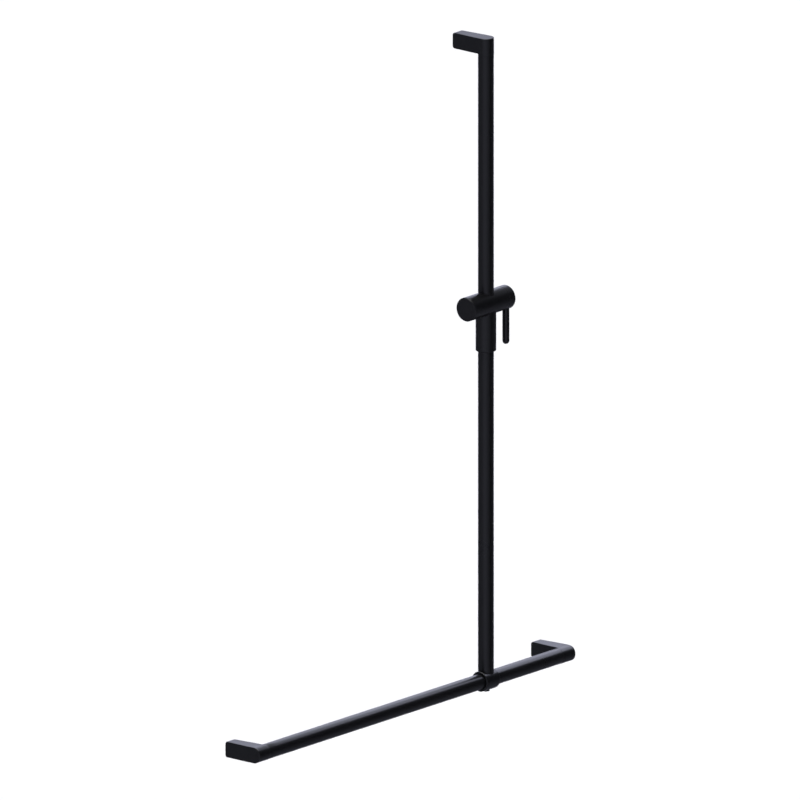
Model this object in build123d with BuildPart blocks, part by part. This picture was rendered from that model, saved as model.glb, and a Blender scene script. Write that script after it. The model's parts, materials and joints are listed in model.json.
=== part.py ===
from build123d import *
from math import sqrt
import os

# Shower grab rail: a horizontal rail, a riser that stands on a collar on it, and a slider on the riser.
# Millimetres. The origin is the middle of the left leg's wall face: +X runs along the rail,
# +Y points into the wall and +Z is up.

# Tubes and overall layout
tube_d = 30.0            # outside of both rails
tube_wall = 2.0
wall_distance = 71.0     # wall to the axis of both rails
rail_span = 928.0        # between the axes of the left and right legs
riser_x = 690.0          # riser axis, from the left leg
riser_height = 1239.0    # rail axis to the axis of the top leg
slider_z = 735.0         # barrel axis above the rail axis

# Cast elbows with their legs
elbow_proud = 0.3        # half-round end outside the tube
elbow_width = 30.6       # along the tube that the elbow ends
leg_foot_width = 24.4    # width of a leg at the wall
leg_taper_start = 17.0   # from the rail axis towards the wall
leg_taper_blend = 60.0   # radius that eases the start of the taper
foot_corner = 5.0        # rounding of a leg's upper and lower corners at the wall
elbow_edge = 1.2
neck_length = 4.5
neck_fillet = 3.0
spigot_length = 30.0
plug_clearance = 0.05    # radial, spigots in tubes and screws in their threads

# Wall blocks and the screws that hold the legs on them
foot_wall = 3.2          # beside the pocket in the foot
foot_land = 1.3          # flat between the pocket and the rounded corners
block_length = 34.0
block_corner = 2.5
block_clearance = 0.2
pocket_spare = 5.0       # pocket beyond the inner end of the block
stud_bore_d = 8.4
stud_head_d = 14.4
stud_head_depth = 11.0
grub_d = 6.0
grub_y = 17.0            # from the wall
grub_recess = 0.5
grub_point = 0.75
dimple_depth = 2.5
socket_share = 0.5       # hex socket across flats, as a share of the screw
socket_depth = 2.5
tap_runout = 2.5         # tapped holes beyond the ends of their screws

# Collar on the rail, and the foot of the riser
liner_wall = 1.1
sleeve_wall = 3.3        # collar and slider's sleeve, outside their liners
sleeve_edge = 2.0
collar_length = 40.0
run_clearance = 0.05     # radial, between liners and tubes
liner_gap = 0.05         # radial, between liners and their housings
boss_d = 14.2
boss_drop = 2.0          # below the collar
boss_edge = 0.8
set_screw_d = 8.0
set_screw_recess = 0.4
pad_thickness = 1.9
foot_plug_length = 36.0
foot_plug_bevel = 1.0
foot_screw_d = 6.0
foot_screw_head_d = 11.2
foot_screw_grip = 15.0   # screw in the plug
foot_screw_sink = 0.7    # head above the rail
countersink = 45         # degrees, half the head's cone

# Slider
barrel_d = 46.0
barrel_half = 61.5       # riser axis to either end of the barrel
sleeve_drop = 92.0       # barrel axis to the foot of the sleeve
joint_fillet = 1.5       # between barrel and sleeve
lip_height = 12.0        # bush below, close-fitting bore above this height over the barrel axis
lip_clearance = 0.4
bush_inset = 1.0         # bush above the foot of the sleeve
cap_thickness = 4.0
cap_bevel = 1.2
seam_bevel = 0.4
barrel_wall = 6.0        # round the cored pocket behind the left cap
core_wall = 4.0          # between the pocket and the bush
cap_rim = 3.0
cap_rim_length = 8.0
hub_length = 17.0
hub_gap = 0.4
hub_end_fillet = 1.0

# Clamp inside the slider
shoe_d = 20.0
shoe_length = 9.0
shoe_clearance = 0.05
spring_count = 4
spring_thickness = 1.0
spring_cone = 0.5
spring_bore_d = 8.6
spring_d = 18.0
spindle_d = 12.0
spindle_flange_d = 17.0
spindle_flange = 2.0
spindle_nose_d = 8.2
face_gap = 0.2           # between faces that turn on each other
drive_square = 8.5
drive_clearance = 0.05
hub_web = 1.4            # hub wall under the screw's head
hub_screw_d = 5.0
hub_screw_head_d = 8.5
hub_screw_head = 2.4
hub_screw_grip = 9.0
hub_socket_depth = 1.2
hub_cap_d = 20.0
hub_cap_thickness = 1.9

# Lever
lever_d = 13.3
lever_tip_drop = 89.4    # barrel axis to the tip of the lever
lever_forward = 6.0      # lever axis in front of the barrel axis
lever_seat = 4.0         # rod sunk into the hub
lever_stud_d = 8.0
lever_stud = 9.0

# Values worked out from those above
tube_r = tube_d / 2
bore_r = tube_r - tube_wall
elbow_r = tube_r + elbow_proud
elbow_d = 2 * elbow_r
half_width = elbow_width / 2
neck_step = elbow_proud / 2
neck_r = tube_r + neck_step
plug_r = bore_r - plug_clearance
run_r = tube_r + run_clearance
liner_r = run_r + liner_wall
housing_r = liner_r + liner_gap
sleeve_r = housing_r + sleeve_wall
sleeve_d = 2 * sleeve_r
barrel_r = barrel_d / 2
core_d = barrel_d - 2 * barrel_wall
tube_start = half_width + neck_length
pocket_width = leg_foot_width - 2 * foot_wall
pocket_height = elbow_d - 2 * (foot_corner + foot_land)
block_width = pocket_width - 2 * block_clearance
block_height = pocket_height - 2 * block_clearance
pocket_depth = block_length + pocket_spare
front_reach = wall_distance + 2 * elbow_r

barrel_axis = Axis((riser_x, -wall_distance, slider_z), (1, 0, 0))

os.makedirs("parts", exist_ok=True)


def keep(part, name):
    """Label a finished piece and write it."""
    part.label = name
    export_step(part, f"parts/{name}.step")


def across_x(x, y=-wall_distance, z=0.0):
    """Plane square to X at a point, with its own x along +Y and its own y along +Z."""
    return Plane(origin=(x, y, z), x_dir=(0, 1, 0), z_dir=(1, 0, 0))


def level(x, y, z):
    """Plane square to Z at a point."""
    return Plane(origin=(x, y, z), x_dir=(1, 0, 0), z_dir=(0, 0, 1))


def facing_wall(x, y, z):
    """Plane square to Y at a point, whose normal points into the wall."""
    return Plane(origin=(x, y, z), x_dir=(-1, 0, 0), z_dir=(0, 1, 0))


def leg_plan(leg_x, front):
    """Plan of a leg: straight beside the rail, then narrowing to its foot at the wall."""
    taper_y = leg_taper_start - wall_distance
    foot = leg_foot_width / 2
    with BuildSketch(level(leg_x, 0, 0), mode=Mode.PRIVATE) as plan:
        with BuildLine():
            Polyline(
                (-half_width, front),
                (-half_width, taper_y),
                (-foot, 0),
                (foot, 0),
                (half_width, taper_y),
                (half_width, front),
                close=True,
            )
        make_face()
        fillet(plan.vertices().group_by(Axis.Y)[1], leg_taper_blend)
    return plan.sketch


# Elbows at the two ends of the rail: inward is the way from the elbow to the rail
for side, leg_x, inward in (("left", 0.0, 1), ("right", rail_span, -1)):
    with BuildPart() as end_elbow:
        with BuildSketch(across_x(leg_x - half_width, y=0)) as side_view:
            with Locations((-wall_distance, 0)):
                Circle(elbow_r)
            with Locations((-wall_distance / 2, 0)):
                Rectangle(wall_distance, elbow_d)
            fillet(side_view.vertices().group_by(Axis.X)[-1], foot_corner)
        extrude(amount=elbow_width)
        extrude(leg_plan(leg_x, -front_reach), amount=elbow_d, both=True, mode=Mode.INTERSECT)
        rims = end_elbow.edges().filter_by(Axis.X, reverse=True).filter_by(Axis.Z, reverse=True)
        fillet(rims, elbow_edge)
        with BuildSketch(across_x(leg_x)):
            Circle(neck_r)
        extrude(amount=inward * tube_start)
        inner_x = leg_x + inward * half_width
        roots = end_elbow.edges(Select.LAST).filter_by(GeomType.CIRCLE)
        fillet(roots.filter_by_position(Axis.X, inner_x - neck_step, inner_x + neck_step), neck_fillet)
        with BuildSketch(across_x(leg_x)):
            Circle(plug_r)
        extrude(amount=inward * (tube_start + spigot_length))
        with BuildSketch(facing_wall(leg_x, -pocket_depth, 0)) as pocket:
            Rectangle(pocket_width, pocket_height)
            fillet(pocket.vertices(), block_corner)
        extrude(amount=pocket_depth, mode=Mode.SUBTRACT)
        with BuildSketch(level(leg_x, -grub_y, -elbow_r)):
            Circle(grub_d / 2)
        extrude(amount=elbow_r, mode=Mode.SUBTRACT)
    keep(end_elbow.part, f"{side}_elbow")

# Top elbow: half-round about the riser, with the same leg
with BuildPart() as top_elbow:
    with BuildSketch(across_x(riser_x - half_width, y=0, z=riser_height)) as side_view:
        with Locations((-front_reach / 2, 0)):
            Rectangle(front_reach, elbow_width)
        fillet(side_view.vertices().group_by(Axis.X)[-1], foot_corner)
    extrude(amount=elbow_width)
    with BuildSketch(level(riser_x, 0, riser_height - elbow_width)):
        add(leg_plan(0, -wall_distance))
        with Locations((0, -wall_distance)):
            Circle(elbow_r)
    extrude(amount=2 * elbow_width, mode=Mode.INTERSECT)
    rims = top_elbow.edges().filter_by(Axis.X, reverse=True).filter_by(Axis.Z, reverse=True)
    fillet(rims, elbow_edge)
    with BuildSketch(level(riser_x, -wall_distance, riser_height)):
        Circle(neck_r)
    extrude(amount=-tube_start)
    inner_z = riser_height - half_width
    roots = top_elbow.edges(Select.LAST).filter_by(GeomType.CIRCLE)
    fillet(roots.filter_by_position(Axis.Z, inner_z - neck_step, inner_z + neck_step), neck_fillet)
    with BuildSketch(level(riser_x, -wall_distance, riser_height)):
        Circle(plug_r)
    extrude(amount=-tube_start - spigot_length)
    with BuildSketch(facing_wall(riser_x, -pocket_depth, riser_height)) as pocket:
        Rectangle(pocket_width, pocket_height)
        fillet(pocket.vertices(), block_corner)
    extrude(amount=pocket_depth, mode=Mode.SUBTRACT)
    with BuildSketch(level(riser_x, -grub_y, riser_height - elbow_r)):
        Circle(grub_d / 2)
    extrude(amount=elbow_r, mode=Mode.SUBTRACT)
keep(top_elbow.part, "top_elbow")

# Wall block and grub screw in the foot of each leg
for side, leg_x, leg_z in (("left", 0.0, 0.0), ("right", rail_span, 0.0), ("top", riser_x, riser_height)):
    with BuildPart() as wall_block:
        with BuildSketch(facing_wall(leg_x, -block_length, leg_z)) as outline:
            Rectangle(block_width, block_height)
            fillet(outline.vertices(), block_corner)
        extrude(amount=block_length)
        with BuildSketch(facing_wall(leg_x, -block_length, leg_z)):
            Circle(stud_bore_d / 2)
        extrude(amount=block_length, mode=Mode.SUBTRACT)
        with BuildSketch(facing_wall(leg_x, -block_length, leg_z)):
            Circle(stud_head_d / 2)
        extrude(amount=stud_head_depth, mode=Mode.SUBTRACT)
        with BuildSketch(level(leg_x, -grub_y, leg_z - block_height / 2)):
            Circle(grub_d / 2)
        extrude(amount=dimple_depth, mode=Mode.SUBTRACT)
    keep(wall_block.part, f"{side}_wall_block")

    grub_foot = leg_z - elbow_r + grub_recess
    grub_tip = leg_z - block_height / 2 + dimple_depth
    with BuildPart() as grub_screw:
        with BuildSketch(level(leg_x, -grub_y, grub_foot)):
            Circle(grub_d / 2 - plug_clearance)
        extrude(amount=grub_tip - grub_foot)
        chamfer(grub_screw.faces().sort_by(Axis.Z)[-1].edges(), grub_point)
        with BuildSketch(level(leg_x, -grub_y, grub_foot)):
            RegularPolygon(grub_d * socket_share / 2, 6, major_radius=False)
        extrude(amount=socket_depth, mode=Mode.SUBTRACT)
    keep(grub_screw.part, f"{side}_grub_screw")

# Rail tube between the necks of its elbows
with BuildPart() as rail_tube:
    with BuildSketch(across_x(tube_start)):
        Circle(tube_r)
        Circle(bore_r, mode=Mode.SUBTRACT)
    extrude(amount=rail_span - 2 * tube_start)
keep(rail_tube.part, "rail_tube")

# Riser tube, coped at its foot to sit on the collar
with BuildPart() as riser_tube:
    with BuildSketch(level(riser_x, -wall_distance, 0)):
        Circle(tube_r)
        Circle(bore_r, mode=Mode.SUBTRACT)
    extrude(amount=riser_height - tube_start)
    with BuildSketch(across_x(riser_x)):
        Circle(sleeve_r)
    extrude(amount=tube_d, both=True, mode=Mode.SUBTRACT)
keep(riser_tube.part, "riser_tube")

# Collar: sleeve on the rail, with a countersunk hole for the riser's screw and a boss for the set screw
head_top = tube_r + foot_screw_sink
head_height = (foot_screw_head_d - foot_screw_d) / 2
with BuildPart() as tee_collar:
    with BuildSketch(across_x(riser_x - collar_length / 2)):
        Circle(sleeve_r)
    extrude(amount=collar_length)
    fillet(tee_collar.edges(), sleeve_edge)
    with BuildSketch(level(riser_x, -wall_distance, -sleeve_r - boss_drop)):
        Circle(boss_d / 2)
    extrude(amount=sleeve_r)
    fillet(tee_collar.faces().sort_by(Axis.Z)[0].edges(), boss_edge)
    with BuildSketch(across_x(riser_x - collar_length / 2)):
        Circle(housing_r)
    extrude(amount=collar_length, mode=Mode.SUBTRACT)
    with BuildSketch(level(riser_x, -wall_distance, -sleeve_r - boss_drop)):
        Circle(set_screw_d / 2)
    extrude(amount=sleeve_r, mode=Mode.SUBTRACT)
    with BuildSketch(level(riser_x, -wall_distance, head_top)):
        Circle(foot_screw_head_d / 2 + plug_clearance)
    extrude(amount=head_height, taper=countersink, mode=Mode.SUBTRACT)
    with BuildSketch(level(riser_x, -wall_distance, 0)):
        Circle(foot_screw_d / 2 + plug_clearance)
    extrude(amount=sleeve_d, mode=Mode.SUBTRACT)
keep(tee_collar.part, "tee_collar")

# Liner between collar and rail, open for the screw's head and the clamp pad
with BuildPart() as collar_liner:
    with BuildSketch(across_x(riser_x - collar_length / 2 + sleeve_edge)):
        Circle(liner_r)
        Circle(run_r, mode=Mode.SUBTRACT)
    extrude(amount=collar_length - 2 * sleeve_edge)
    with BuildSketch(level(riser_x, -wall_distance, 0)):
        Circle(foot_screw_head_d / 2 + block_clearance)
    extrude(amount=sleeve_r, mode=Mode.SUBTRACT)
    with BuildSketch(level(riser_x, -wall_distance, 0)):
        Circle(set_screw_d / 2 + block_clearance)
    extrude(amount=-sleeve_r, mode=Mode.SUBTRACT)
keep(collar_liner.part, "collar_liner")

# Plug in the foot of the riser, coped like the tube, and the screw that draws it onto the collar
plug_top = sleeve_r + foot_plug_length
with BuildPart() as riser_spigot:
    with BuildSketch(level(riser_x, -wall_distance, 0)):
        Circle(plug_r)
    extrude(amount=plug_top)
    chamfer(riser_spigot.faces().sort_by(Axis.Z)[-1].edges(), foot_plug_bevel)
    with BuildSketch(across_x(riser_x)):
        Circle(sleeve_r)
    extrude(amount=tube_d, both=True, mode=Mode.SUBTRACT)
    with BuildSketch(level(riser_x, -wall_distance, 0)):
        Circle(foot_screw_d / 2)
    extrude(amount=sleeve_r + foot_screw_grip + tap_runout, mode=Mode.SUBTRACT)
keep(riser_spigot.part, "riser_spigot")

with BuildPart() as riser_screw:
    with BuildSketch(level(riser_x, -wall_distance, head_top)):
        Circle(foot_screw_head_d / 2)
    extrude(amount=head_height, taper=countersink)
    with BuildSketch(level(riser_x, -wall_distance, head_top)):
        Circle(foot_screw_d / 2 - plug_clearance)
    extrude(amount=sleeve_r + foot_screw_grip - head_top)
    with BuildSketch(level(riser_x, -wall_distance, head_top)):
        RegularPolygon(foot_screw_d * socket_share / 2, 6, major_radius=False)
    extrude(amount=socket_depth, mode=Mode.SUBTRACT)
keep(riser_screw.part, "riser_screw")

# Set screw in the boss, and the pad that it presses on the rail
pad_foot = -run_r - pad_thickness
with BuildPart() as clamp_pad:
    with BuildSketch(level(riser_x, -wall_distance, pad_foot)):
        Circle(set_screw_d / 2 - plug_clearance)
    extrude(amount=-pad_foot)
    with BuildSketch(across_x(riser_x)):
        Circle(run_r)
    extrude(amount=tube_d, both=True, mode=Mode.SUBTRACT)
keep(clamp_pad.part, "clamp_pad")

with BuildPart() as collar_set_screw:
    screw_foot = -sleeve_r - boss_drop + set_screw_recess
    with BuildSketch(level(riser_x, -wall_distance, screw_foot)):
        Circle(set_screw_d / 2 - plug_clearance)
    extrude(amount=pad_foot - screw_foot)
    with BuildSketch(level(riser_x, -wall_distance, screw_foot)):
        RegularPolygon(set_screw_d * socket_share / 2, 6, major_radius=False)
    extrude(amount=socket_depth, mode=Mode.SUBTRACT)
keep(collar_set_screw.part, "collar_set_screw")

# Stations along the barrel, from the riser axis
body_left = cap_thickness - barrel_half
hub_left = barrel_half - hub_length
body_right = hub_left - hub_gap
core_right = -housing_r - core_wall
shoe_back = run_r + shoe_length
spring_pitch = spring_thickness + spring_cone
springs_back = shoe_back + spring_count * spring_pitch
flange_back = springs_back + face_gap + spindle_flange
thread_left = flange_back + face_gap
recess_left = barrel_half - hub_cap_thickness - face_gap - hub_screw_head
drive_end = recess_left - hub_web - face_gap
drive_length = drive_end - hub_left


def barrel_plane(station):
    """Plane square to the barrel at a distance from the riser axis."""
    return across_x(riser_x + station, z=slider_z)


def slider_level(height):
    """Level plane on the riser axis at a height above the barrel axis."""
    return level(riser_x, -wall_distance, slider_z + height)


# Slider body: barrel and sleeve, bored for the riser, the clamp and a cored pocket on the left
with BuildPart() as slider_body:
    with BuildSketch(barrel_plane(body_left)):
        Circle(barrel_r)
    extrude(amount=body_right - body_left)
    chamfer(slider_body.edges().group_by(Axis.X)[0], seam_bevel)
    chamfer(slider_body.edges().group_by(Axis.X)[-1], seam_bevel)
    with BuildSketch(slider_level(-sleeve_drop)):
        Circle(sleeve_r)
    extrude(amount=sleeve_drop)
    joins = slider_body.edges(Select.LAST).filter_by(GeomType.BSPLINE)
    fillet(joins, joint_fillet)
    fillet(slider_body.faces().sort_by(Axis.Z)[0].edges(), sleeve_edge)
    with BuildSketch(slider_level(-sleeve_drop)):
        Circle(housing_r)
    extrude(amount=sleeve_drop + lip_height, mode=Mode.SUBTRACT)
    with BuildSketch(slider_level(0)):
        Circle(tube_r + lip_clearance)
    extrude(amount=barrel_d, mode=Mode.SUBTRACT)
    with BuildSketch(barrel_plane(body_left)):
        Circle(core_d / 2)
    extrude(amount=core_right - body_left, mode=Mode.SUBTRACT)
    with BuildSketch(barrel_plane(0)):
        Circle(shoe_d / 2)
    extrude(amount=thread_left, mode=Mode.SUBTRACT)
    with BuildSketch(barrel_plane(0)):
        Circle(spindle_d / 2)
    extrude(amount=barrel_half, mode=Mode.SUBTRACT)
keep(slider_body.part, "slider_body")

# Bush that runs on the riser, with a window for the brake shoe
with BuildPart() as slider_bush:
    with BuildSketch(slider_level(bush_inset - sleeve_drop)):
        Circle(liner_r)
        Circle(run_r, mode=Mode.SUBTRACT)
    extrude(amount=sleeve_drop + lip_height - bush_inset)
    with BuildSketch(barrel_plane(0)):
        Circle(shoe_d / 2 + block_clearance)
    extrude(amount=barrel_r, mode=Mode.SUBTRACT)
keep(slider_bush.part, "slider_bush")

# Left end cap: bevelled disc with a rim that plugs the cored pocket
with BuildPart() as left_end_cap:
    with BuildSketch(barrel_plane(-barrel_half)):
        Circle(barrel_r)
    extrude(amount=cap_thickness)
    chamfer(left_end_cap.edges().group_by(Axis.X)[0], cap_bevel)
    chamfer(left_end_cap.edges().group_by(Axis.X)[-1], seam_bevel)
    with BuildSketch(barrel_plane(body_left)):
        Circle(core_d / 2 - plug_clearance)
        Circle(core_d / 2 - cap_rim, mode=Mode.SUBTRACT)
    extrude(amount=cap_rim_length)
keep(left_end_cap.part, "left_end_cap")

# Brake shoe, hollowed to the riser
with BuildPart() as brake_shoe:
    with BuildSketch(barrel_plane(0)):
        Circle(shoe_d / 2 - shoe_clearance)
    extrude(amount=shoe_back)
    with BuildSketch(slider_level(-shoe_d)):
        Circle(run_r)
    extrude(amount=2 * shoe_d, mode=Mode.SUBTRACT)
keep(brake_shoe.part, "brake_shoe")

# Disc springs between shoe and spindle, stacked in opposite pairs
along_barrel = Plane(origin=(riser_x, -wall_distance, slider_z), x_dir=(1, 0, 0), z_dir=(0, -1, 0))
with BuildPart() as disc_springs:
    for index in range(spring_count):
        near = shoe_back + index * spring_pitch
        inner_lift = spring_cone if index % 2 else 0.0
        outer_lift = spring_cone - inner_lift
        with BuildSketch(along_barrel):
            with BuildLine():
                Polyline(
                    (near + inner_lift, spring_bore_d / 2),
                    (near + outer_lift, spring_d / 2),
                    (near + outer_lift + spring_thickness, spring_d / 2),
                    (near + inner_lift + spring_thickness, spring_bore_d / 2),
                    close=True,
                )
            make_face()
        revolve(axis=barrel_axis)
keep(disc_springs.part, "disc_springs")

# Clamp spindle: nose through the springs, flange, thread in the slider body and a square for the hub
with BuildPart() as clamp_spindle:
    with BuildSketch(barrel_plane(shoe_back + face_gap)):
        Circle(spindle_nose_d / 2)
    extrude(amount=springs_back - shoe_back)
    with BuildSketch(barrel_plane(springs_back + face_gap)):
        Circle(spindle_flange_d / 2)
    extrude(amount=spindle_flange)
    with BuildSketch(barrel_plane(flange_back)):
        Circle(spindle_d / 2 - plug_clearance)
    extrude(amount=hub_left - flange_back)
    with BuildSketch(barrel_plane(hub_left)):
        Rectangle(drive_square, drive_square)
    extrude(amount=drive_length)
    with BuildSketch(barrel_plane(drive_end)):
        Circle(hub_screw_d / 2)
    extrude(amount=-hub_screw_grip - tap_runout, mode=Mode.SUBTRACT)
keep(clamp_spindle.part, "clamp_spindle")

# Lever hub: the turning end of the barrel, with a square for the spindle and a seat for the lever
lever_x = riser_x + barrel_half - hub_length / 2
lever_y = -wall_distance - lever_forward
seat_drop = sqrt(barrel_r ** 2 - lever_forward ** 2) - lever_seat
with BuildPart() as lever_hub:
    with BuildSketch(barrel_plane(hub_left)):
        Circle(barrel_r)
    extrude(amount=hub_length)
    chamfer(lever_hub.edges().group_by(Axis.X)[0], seam_bevel)
    fillet(lever_hub.edges().group_by(Axis.X)[-1], hub_end_fillet)
    with BuildSketch(barrel_plane(hub_left)):
        Rectangle(drive_square + 2 * drive_clearance, drive_square + 2 * drive_clearance)
    extrude(amount=drive_length + face_gap, mode=Mode.SUBTRACT)
    with BuildSketch(barrel_plane(hub_left)):
        Circle(hub_screw_d / 2 + plug_clearance)
    extrude(amount=hub_length, mode=Mode.SUBTRACT)
    with BuildSketch(barrel_plane(recess_left)):
        Circle(hub_cap_d / 2)
    extrude(amount=hub_length, mode=Mode.SUBTRACT)
    with BuildSketch(level(lever_x, lever_y, slider_z - seat_drop)):
        Circle(lever_d / 2 + plug_clearance)
    extrude(amount=-barrel_r, mode=Mode.SUBTRACT)
    with BuildSketch(level(lever_x, lever_y, slider_z - seat_drop)):
        Circle(lever_stud_d / 2)
    extrude(amount=lever_stud + plug_clearance, mode=Mode.SUBTRACT)
keep(lever_hub.part, "lever_hub")

# Lever rod with its stud and a round tip
with BuildPart() as lever_rod:
    with BuildSketch(level(lever_x, lever_y, slider_z - lever_tip_drop)):
        Circle(lever_d / 2)
    extrude(amount=lever_tip_drop - seat_drop)
    fillet(lever_rod.edges().group_by(Axis.Z)[0], lever_d / 2 - plug_clearance)
    with BuildSketch(level(lever_x, lever_y, slider_z - seat_drop)):
        Circle(lever_stud_d / 2 - plug_clearance)
    extrude(amount=lever_stud)
keep(lever_rod.part, "lever_rod")

# Screw that holds the hub on the spindle, and the cap that hides it
with BuildPart() as hub_screw:
    with BuildSketch(barrel_plane(recess_left)):
        Circle(hub_screw_head_d / 2)
    extrude(amount=hub_screw_head)
    with BuildSketch(barrel_plane(recess_left)):
        Circle(hub_screw_d / 2 - plug_clearance)
    extrude(amount=-hub_web - face_gap - hub_screw_grip)
    with BuildSketch(barrel_plane(recess_left + hub_screw_head)):
        RegularPolygon(hub_screw_d * socket_share / 2, 6, major_radius=False)
    extrude(amount=-hub_socket_depth, mode=Mode.SUBTRACT)
keep(hub_screw.part, "hub_screw")

with BuildPart() as hub_cap:
    with BuildSketch(barrel_plane(barrel_half - hub_cap_thickness)):
        Circle(hub_cap_d / 2 - plug_clearance)
    extrude(amount=hub_cap_thickness)
    chamfer(hub_cap.edges().group_by(Axis.X)[-1], seam_bevel)
keep(hub_cap.part, "hub_cap")
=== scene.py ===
"""Looks of the shower grab rail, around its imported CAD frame.

Metres, in the CAD's frame: +X along the grab rail, +Y into the wall, +Z up.
"""

import json
import math

import bpy
import numpy as np
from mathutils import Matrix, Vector


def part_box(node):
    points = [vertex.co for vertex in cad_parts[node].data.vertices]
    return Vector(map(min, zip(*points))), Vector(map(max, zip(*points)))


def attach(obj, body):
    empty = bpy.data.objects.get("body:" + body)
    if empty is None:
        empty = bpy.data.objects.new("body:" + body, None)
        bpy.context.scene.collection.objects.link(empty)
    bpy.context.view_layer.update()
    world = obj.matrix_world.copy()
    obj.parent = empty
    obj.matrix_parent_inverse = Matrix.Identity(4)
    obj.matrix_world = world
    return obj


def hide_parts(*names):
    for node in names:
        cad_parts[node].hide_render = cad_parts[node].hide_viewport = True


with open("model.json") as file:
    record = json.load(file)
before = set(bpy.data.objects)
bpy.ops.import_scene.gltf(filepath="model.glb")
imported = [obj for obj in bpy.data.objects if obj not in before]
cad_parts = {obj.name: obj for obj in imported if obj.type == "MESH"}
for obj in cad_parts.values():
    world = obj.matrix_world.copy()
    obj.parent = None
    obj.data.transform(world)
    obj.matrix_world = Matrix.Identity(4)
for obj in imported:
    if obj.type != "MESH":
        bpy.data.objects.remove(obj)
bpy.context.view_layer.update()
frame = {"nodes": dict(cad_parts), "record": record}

# The photograph: parallel view, from the left front and a little above
view_azimuth = -51.6               # degrees
view_elevation = 15.0              # degrees
image_side = 800                   # pixels
metres_per_pixel = 0.0018856
crossing_pixel = (485.93, 679.74)  # where the axes of rail and riser cross
camera_distance = 5.0
camera_reach = 100.0

# Tubes
tube_wall = 0.002
tube_edge = 0.0004                 # rounding of the outer rims
tube_segments = 160                # round the tube
tube_stations = 40                 # along the tube
rim_steps = 5                      # round each rim
sharp_angle = 50                   # degrees, from which an edge is shaded sharp
ring = np.linspace(0.0, 2 * math.pi, tube_segments, endpoint=False)

# Patterns of the finishes
grain_share = 0.18                 # of the fine grain in the orange peel's height
cloud_range = (0.3, 0.7)           # of the clouds, over which roughness drifts
# Scale along X, Y and Z: a tool's lines are drawn out where it is small
even = (1.0, 1.0, 1.0)
fine = (1.6, 1.6, 1.6)
finest = (2.2, 2.2, 2.2)
drawn_along_y = (900.0, 14.0, 900.0)
turned_about_z = (220.0, 220.0, 900.0)
turned_about_x = (900.0, 220.0, 220.0)
# Places of a Mix node's colour sockets, which share their names with its other sockets
mix_first = 6
mix_second = 7
mix_result = 2

# Studio
floor_height = -0.9
floor_half = 20.0
floor_paint = (0.92, 0.92, 0.92)
floor_roughness = 0.9
overhead_strength = 3.2
overhead_angle = 60                # degrees across
white = (1.0, 1.0, 1.0)
cool_white = (0.88, 0.905, 1.13)
room_light = 0.03
# Each paler side of the room: direction, cosines to it where its light starts and is full, strength
room_sides = {
    "front": ((-0.757, -0.600, -0.259), 0.45, 1.0, 0.28),
    "left": ((-0.95, 0.25, -0.20), 0.1, 0.9, 0.175),
    "horizon": ((0.757, 0.600, 0.050), 0.72, 0.98, 1.03),
    "underside": ((0.60, -0.20, -0.77), 0.6, 1.0, 0.13),
}
softbox_height = 1.0
# Each softbox: low corner, high corner, radiance, and the angle in degrees that the grid over it lets through
softboxes = {
    "softbox": ((1.17, -0.20), (3.00, 1.30), 2.05, 160),
    "softbox_strip": ((1.20, -0.58), (3.00, -0.20), 2.8, 130),
}


def new_node(tree, kind, **values):
    """A node with its values: each name is one of its settings, or one of its inputs with _ for a space."""
    node = tree.nodes.new(kind)
    for name, value in values.items():
        if hasattr(node, name):
            setattr(node, name, value)
        else:
            node.inputs[name.replace("_", " ")].default_value = value
    return node


def new_group(name, inputs, outputs):
    """An empty shader group with named sockets; returns the tree, its input node and its output node."""
    tree = bpy.data.node_groups.new(name, "ShaderNodeTree")
    for socket, kind, value in inputs:
        made = tree.interface.new_socket(socket, in_out="INPUT", socket_type=kind)
        if value is not None:
            made.default_value = value
    for socket, kind in outputs:
        tree.interface.new_socket(socket, in_out="OUTPUT", socket_type=kind)
    return tree, tree.nodes.new("NodeGroupInput"), tree.nodes.new("NodeGroupOutput")


def make_orange_peel():
    """Powder coat's skin: soft cells about a millimetre across, finer grain on them, and clouds of gloss."""
    tree, given, out = new_group(
        "orange_peel",
        [("Vector", "NodeSocketVector", None), ("Cells", "NodeSocketFloat", 700.0)],
        [("Height", "NodeSocketFloat"), ("Cloud", "NodeSocketFloat")],
    )
    cells = new_node(tree, "ShaderNodeTexNoise", Detail=1.0, Roughness=0.4)
    grain = new_node(tree, "ShaderNodeTexNoise", Scale=4200.0, Detail=2.0)
    cloud = new_node(tree, "ShaderNodeTexNoise", Scale=11.0, Detail=3.0, Roughness=0.55)
    faint = new_node(tree, "ShaderNodeMath", operation="MULTIPLY")
    faint.inputs[1].default_value = grain_share
    height = new_node(tree, "ShaderNodeMath", operation="ADD")
    for texture in (cells, grain, cloud):
        tree.links.new(given.outputs["Vector"], texture.inputs["Vector"])
    tree.links.new(given.outputs["Cells"], cells.inputs["Scale"])
    tree.links.new(grain.outputs["Fac"], faint.inputs[0])
    tree.links.new(cells.outputs["Fac"], height.inputs[0])
    tree.links.new(faint.outputs["Value"], height.inputs[1])
    tree.links.new(height.outputs["Value"], out.inputs["Height"])
    tree.links.new(cloud.outputs["Fac"], out.inputs["Cloud"])
    return tree


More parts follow.
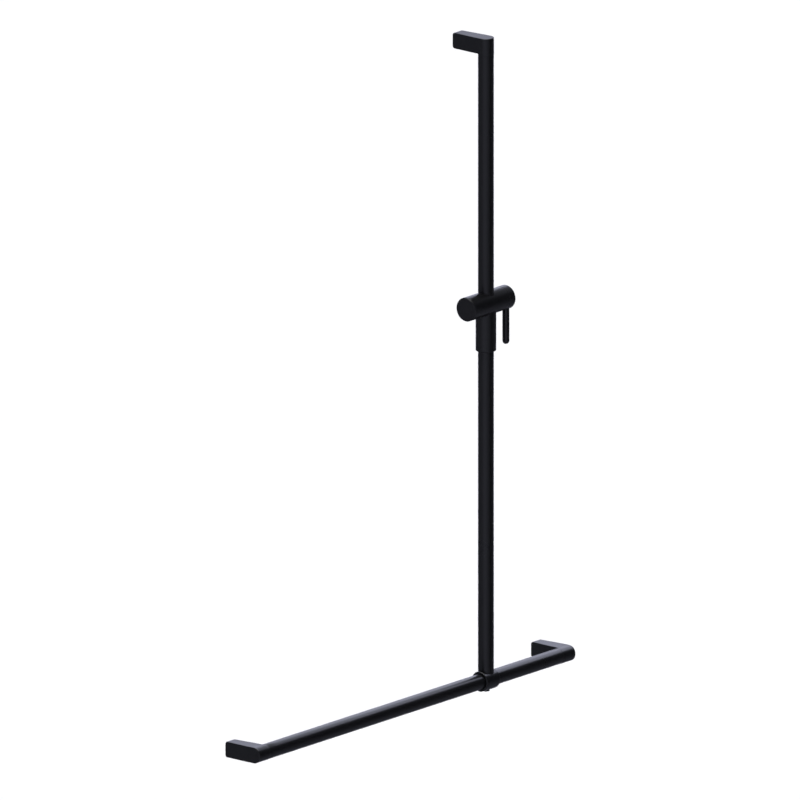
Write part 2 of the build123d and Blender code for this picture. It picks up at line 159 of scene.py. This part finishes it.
def make_tool_lines():
    """Marks of a cutting tool: noise drawn out into fine lines by the scale that the vector comes with."""
    tree, given, out = new_group(
        "tool_lines",
        [("Vector", "NodeSocketVector", None), ("Lines", "NodeSocketFloat", 60.0)],
        [("Height", "NodeSocketFloat"), ("Cloud", "NodeSocketFloat")],
    )
    lines = new_node(tree, "ShaderNodeTexNoise", Detail=4.0, Roughness=0.65)
    cloud = new_node(tree, "ShaderNodeTexNoise", Scale=0.9, Detail=2.0)
    for texture in (lines, cloud):
        tree.links.new(given.outputs["Vector"], texture.inputs["Vector"])
    tree.links.new(given.outputs["Lines"], lines.inputs["Scale"])
    tree.links.new(lines.outputs["Fac"], out.inputs["Height"])
    tree.links.new(cloud.outputs["Fac"], out.inputs["Cloud"])
    return tree


def make_finish(name, group, stretch, dark, light, rough, bump, depth, metallic=0.0, specular=0.5):
    """A material whose colour and roughness drift with its group's cloud, with the group's height as bump."""
    material = bpy.data.materials.new(name)
    material.use_nodes = True
    tree = material.node_tree
    shader = tree.nodes["Principled BSDF"]
    shader.inputs["Metallic"].default_value = metallic
    shader.inputs["Specular IOR Level"].default_value = specular
    place = new_node(tree, "ShaderNodeTexCoord")
    scaled = new_node(tree, "ShaderNodeMapping", Scale=stretch)
    skin = new_node(tree, "ShaderNodeGroup", node_tree=group)
    tint = new_node(tree, "ShaderNodeMix", data_type="RGBA")
    tint.inputs[mix_first].default_value = (*dark, 1.0)
    tint.inputs[mix_second].default_value = (*light, 1.0)
    gloss = new_node(
        tree, "ShaderNodeMapRange",
        From_Min=cloud_range[0], From_Max=cloud_range[1], To_Min=rough[0], To_Max=rough[1],
    )
    relief = new_node(tree, "ShaderNodeBump", Strength=bump, Distance=depth)
    tree.links.new(place.outputs["Object"], scaled.inputs["Vector"])
    tree.links.new(scaled.outputs["Vector"], skin.inputs["Vector"])
    tree.links.new(skin.outputs["Cloud"], tint.inputs["Factor"])
    tree.links.new(skin.outputs["Cloud"], gloss.inputs["Value"])
    tree.links.new(skin.outputs["Height"], relief.inputs["Height"])
    tree.links.new(tint.outputs[mix_result], shader.inputs["Base Color"])
    tree.links.new(gloss.outputs["Result"], shader.inputs["Roughness"])
    tree.links.new(relief.outputs["Normal"], shader.inputs["Normal"])
    return material


def middle_of(node):
    """Middle of a CAD node's box, as x, y and z."""
    low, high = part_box(node)
    return [(a + b) / 2 for a, b in zip(low, high)]


def put_surface(name, rows):
    """A closed mesh from a grid of points: rows of a ring, joined round both ways, facing outwards."""
    count, around = rows.shape[:2]
    row = np.arange(count)[:, None]
    column = np.arange(around)[None, :]
    next_row = (row + 1) % count
    next_column = (column + 1) % around
    corners = (
        row * around + column,
        next_row * around + column,
        next_row * around + next_column,
        row * around + next_column,
    )
    quads = np.stack([np.broadcast_to(c, (count, around)) for c in corners], axis=-1).reshape(-1, 4)
    mesh = bpy.data.meshes.new(name)
    mesh.from_pydata(rows.reshape(-1, 3).tolist(), [], quads.tolist())
    mesh.polygons.foreach_set("use_smooth", np.ones(len(quads), bool))
    mesh.set_sharp_from_angle(angle=math.radians(sharp_angle))
    mesh.update()
    piece = bpy.data.objects.new(name, mesh)
    bpy.context.scene.collection.objects.link(piece)
    return piece


def tube_profile(start, end, radius):
    """Section of a tube as (station, radius), in one closed round: outer wall, rounded rims, square bore.

    A rim is a quarter circle of edge e: at turn t it is e (1 - sin t) from the tube's end, and its radius is
    e (1 - cos t) less than the tube's.
    """
    turn = np.linspace(0.0, math.pi / 2, rim_steps)
    inset = tube_edge * (1 - np.sin(turn))
    eased = radius - tube_edge * (1 - np.cos(turn))
    near_rim = np.stack([start + inset, eased], 1)[::-1]
    far_rim = np.stack([end - inset, eased], 1)
    stations = np.linspace(start + tube_edge, end - tube_edge, tube_stations)[1:-1]
    outer = np.stack([stations, np.full_like(stations, radius)], 1)
    bore = np.array([[end, radius - tube_wall], [start, radius - tube_wall]])
    return np.concatenate([near_rim, outer, far_rim, bore])


def make_rail_tube():
    """Tube along X: a section point (x, r) becomes the ring (x, r sin a, r cos a) about the rail's axis."""
    low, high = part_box("rail_tube")
    _, middle_y, middle_z = middle_of("rail_tube")
    section = tube_profile(low.x, high.x, (high.z - low.z) / 2)
    radius = section[:, 1:]
    x = np.broadcast_to(section[:, :1], (len(section), tube_segments))
    y = middle_y + radius * np.sin(ring)
    z = middle_z + radius * np.cos(ring)
    return put_surface("grab_rail_tube", np.stack([x, y, z], axis=-1))


def make_riser_tube():
    """Tube along Z, coped at its foot to sit on the collar.

    The stations of its section are shares of its length. At depth y from its axis the foot stands on the
    collar's saddle, sqrt(collar^2 - y^2), and share s at saddle + s (top - saddle).
    """
    low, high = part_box("riser_tube")
    collar_low, collar_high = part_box("tee_collar")
    middle_x, middle_y, _ = middle_of("riser_tube")
    collar_radius = (collar_high.y - collar_low.y) / 2
    section = tube_profile(0.0, 1.0, (high.x - low.x) / 2)
    share = section[:, :1]
    radius = section[:, 1:]
    x = radius * np.sin(ring)
    y = radius * np.cos(ring)
    saddle = np.sqrt(collar_radius ** 2 - y ** 2)
    z = saddle + share * (high.z - saddle)
    return put_surface("riser_rail_tube", np.stack([middle_x + x, middle_y + y, z], axis=-1))


def make_floor():
    """Pale floor below the rail, which the coat doesn't mirror."""
    square = ((-1, -1), (1, -1), (1, 1), (-1, 1))
    corners = [(floor_half * x, floor_half * y, floor_height) for x, y in square]
    mesh = bpy.data.meshes.new("floor")
    mesh.from_pydata(corners, [], [(0, 1, 2, 3)])
    floor = bpy.data.objects.new("floor", mesh)
    bpy.context.scene.collection.objects.link(floor)
    material = bpy.data.materials.new("floor_paint")
    material.use_nodes = True
    shader = material.node_tree.nodes["Principled BSDF"]
    shader.inputs["Base Color"].default_value = (*floor_paint, 1.0)
    shader.inputs["Roughness"].default_value = floor_roughness
    mesh.materials.append(material)
    floor.visible_glossy = False


def add_side(tree, direction, start, full, strength):
    """Light from one side of the room: grows smoothly with the cosine to that side, from start to full."""
    place = new_node(tree, "ShaderNodeTexCoord")
    cosine = new_node(tree, "ShaderNodeVectorMath", operation="DOT_PRODUCT")
    cosine.inputs[1].default_value = Vector(direction).normalized()
    ramp = new_node(
        tree, "ShaderNodeMapRange", interpolation_type="SMOOTHSTEP",
        From_Min=start, From_Max=full, To_Max=strength,
    )
    tree.links.new(place.outputs["Generated"], cosine.inputs[0])
    tree.links.new(cosine.outputs["Value"], ramp.inputs["Value"])
    return ramp.outputs["Result"]


def make_world():
    """Studio round the part: white to the camera, and to the part a dim room with paler sides."""
    world = bpy.data.worlds.new("studio")
    bpy.context.scene.world = world
    world.use_nodes = True
    tree = world.node_tree
    tree.nodes.clear()
    sides = [add_side(tree, *side) for side in room_sides.values()]
    total = sides[0]
    for side in sides[1:]:
        both = new_node(tree, "ShaderNodeMath", operation="ADD")
        tree.links.new(total, both.inputs[0])
        tree.links.new(side, both.inputs[1])
        total = both.outputs["Value"]
    room = new_node(tree, "ShaderNodeMath", operation="ADD")
    room.inputs[1].default_value = room_light
    tree.links.new(total, room.inputs[0])
    seen = new_node(tree, "ShaderNodeBackground", Color=(*white, 1.0))
    lit = new_node(tree, "ShaderNodeBackground", Color=(*cool_white, 1.0))
    path = new_node(tree, "ShaderNodeLightPath")
    mix = new_node(tree, "ShaderNodeMixShader")
    out = new_node(tree, "ShaderNodeOutputWorld")
    tree.links.new(room.outputs["Value"], lit.inputs["Strength"])
    tree.links.new(path.outputs["Is Camera Ray"], mix.inputs["Fac"])
    tree.links.new(lit.outputs["Background"], mix.inputs[1])
    tree.links.new(seen.outputs["Background"], mix.inputs[2])
    tree.links.new(mix.outputs["Shader"], out.inputs["Surface"])


def make_lights():
    """Soft light straight from above, which whitens the floor, and softboxes over the right, for gloss."""
    above = bpy.data.lights.new("overhead", "SUN")
    above.energy = overhead_strength
    above.angle = math.radians(overhead_angle)
    bpy.context.scene.collection.objects.link(bpy.data.objects.new("overhead", above))
    for name, (low, high, radiance, grid_angle) in softboxes.items():
        panel = bpy.data.lights.new(name, "AREA")
        panel.shape = "RECTANGLE"
        panel.size = high[0] - low[0]
        panel.size_y = high[1] - low[1]
        panel.spread = math.radians(grid_angle)
        panel.color = cool_white
        panel.energy = radiance * math.pi * panel.size * panel.size_y
        lamp = bpy.data.objects.new(name, panel)
        lamp.location = ((low[0] + high[0]) / 2, (low[1] + high[1]) / 2, softbox_height)
        lamp.visible_camera = False
        lamp.visible_diffuse = False
        bpy.context.scene.collection.objects.link(lamp)


def make_camera():
    """Parallel camera, set so that the crossing of rail and riser falls on its pixel."""
    azimuth = math.radians(view_azimuth)
    elevation = math.radians(view_elevation)
    back = Vector((
        math.sin(azimuth) * math.cos(elevation),
        -math.cos(azimuth) * math.cos(elevation),
        math.sin(elevation),
    ))
    right = Vector((math.cos(azimuth), math.sin(azimuth), 0.0))
    up = back.cross(right)
    riser_x, _, _ = middle_of("riser_tube")
    _, rail_y, rail_z = middle_of("rail_tube")
    crossing = Vector((riser_x, rail_y, rail_z))
    half = image_side / 2
    middle = crossing - right * (crossing_pixel[0] - half) * metres_per_pixel
    middle = middle + up * (crossing_pixel[1] - half) * metres_per_pixel
    data = bpy.data.cameras.new("camera")
    data.type = "ORTHO"
    data.ortho_scale = image_side * metres_per_pixel
    data.clip_end = camera_reach
    camera = bpy.data.objects.new("camera", data)
    camera.location = middle + back * camera_distance
    camera.rotation_mode = "QUATERNION"
    camera.rotation_quaternion = (-back).to_track_quat("-Z", "Y")
    bpy.context.scene.collection.objects.link(camera)
    bpy.context.scene.camera = camera


# Finishes, one for each material slot
orange_peel = make_orange_peel()
tool_lines = make_tool_lines()
finish_values = {
    "black_coat": dict(
        group=orange_peel, stretch=even, dark=(0.0038, 0.0040, 0.0047), light=(0.0050, 0.0052, 0.0060),
        rough=(0.27, 0.32), bump=0.45, depth=0.00015,
    ),
    "black_plastic": dict(
        group=orange_peel, stretch=finest, dark=(0.012, 0.012, 0.013), light=(0.018, 0.018, 0.019),
        rough=(0.52, 0.62), bump=0.35, depth=0.0001, specular=0.4,
    ),
    "black_rubber": dict(
        group=orange_peel, stretch=fine, dark=(0.014, 0.014, 0.014), light=(0.022, 0.022, 0.022),
        rough=(0.75, 0.85), bump=0.4, depth=0.0002, specular=0.3,
    ),
    "black_steel": dict(
        group=tool_lines, stretch=turned_about_z, dark=(0.030, 0.030, 0.033), light=(0.055, 0.055, 0.060),
        rough=(0.32, 0.45), bump=0.15, depth=0.00005, metallic=1.0,
    ),
    "steel": dict(
        group=tool_lines, stretch=drawn_along_y, dark=(0.45, 0.46, 0.47), light=(0.58, 0.59, 0.60),
        rough=(0.26, 0.38), bump=0.2, depth=0.00005, metallic=1.0,
    ),
    "bare_aluminium": dict(
        group=tool_lines, stretch=turned_about_z, dark=(0.66, 0.67, 0.68), light=(0.76, 0.77, 0.78),
        rough=(0.30, 0.42), bump=0.2, depth=0.00005, metallic=1.0,
    ),
    "brass": dict(
        group=tool_lines, stretch=turned_about_x, dark=(0.60, 0.44, 0.18), light=(0.74, 0.57, 0.27),
        rough=(0.24, 0.36), bump=0.2, depth=0.00005, metallic=1.0,
    ),
}
finishes = {name: make_finish(name, **values) for name, values in finish_values.items()}

# Every CAD node takes the finish of its slot
for subpart in frame["record"]["subparts"]:
    mesh = frame["nodes"][subpart["node"]].data
    mesh.materials.clear()
    mesh.materials.append(finishes[subpart["material_slot"]])

# Rounder tubes stand for the CAD's
tubes = (
    (make_rail_tube(), "rail_tube", "rail"),
    (make_riser_tube(), "riser_tube", "riser"),
)
for piece, node, body in tubes:
    piece.data.materials.append(finishes["black_coat"])
    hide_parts(node)
    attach(piece, body)

make_floor()
make_world()
make_lights()
make_camera()
bpy.context.scene.view_settings.view_transform = "Standard"
bpy.context.scene.view_settings.look = "None"
